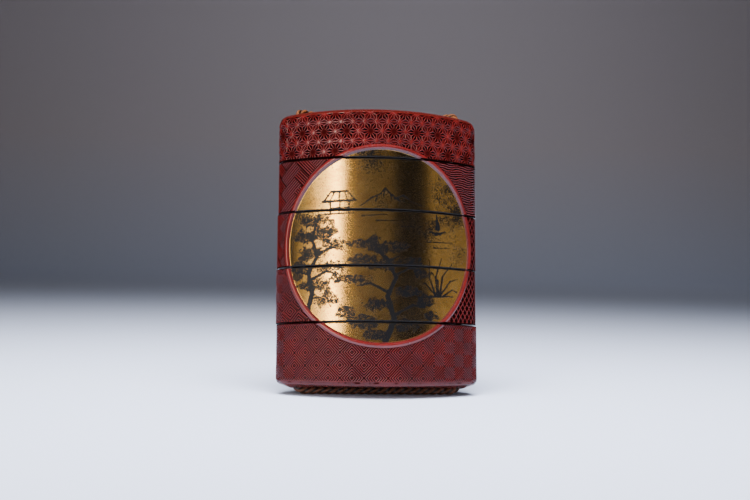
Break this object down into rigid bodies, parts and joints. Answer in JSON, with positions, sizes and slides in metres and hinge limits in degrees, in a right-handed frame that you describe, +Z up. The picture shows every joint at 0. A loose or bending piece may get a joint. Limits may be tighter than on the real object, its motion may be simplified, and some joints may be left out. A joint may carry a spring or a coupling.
{
  "type": "inro case",
  "caption": "Small oval lacquer inro of stacked cases and a lid, threaded on a looped cord, with a carved red ground and a round gold medallion.",
  "frame": {"origin": "middle of the part's bounding box, on the surface that it stands on", "axes": "+Z up as it stands, leaning back on its cord and rear bottom edge, -Y towards the front face, X across its width"},
  "size_m": [0.0604, 0.038, 0.0855],
  "materials": {
    "red_lacquer": "carved red lacquer over wood, with a worn gold medallion",
    "twisted_cord": "twisted silk cord"
  },
  "bodies": {
    "root": {"bottom_case": "red_lacquer", "lower_case": "red_lacquer", "middle_case": "red_lacquer", "upper_case": "red_lacquer", "lid": "red_lacquer", "cord": "twisted_cord"}
  },
  "joints": []
}
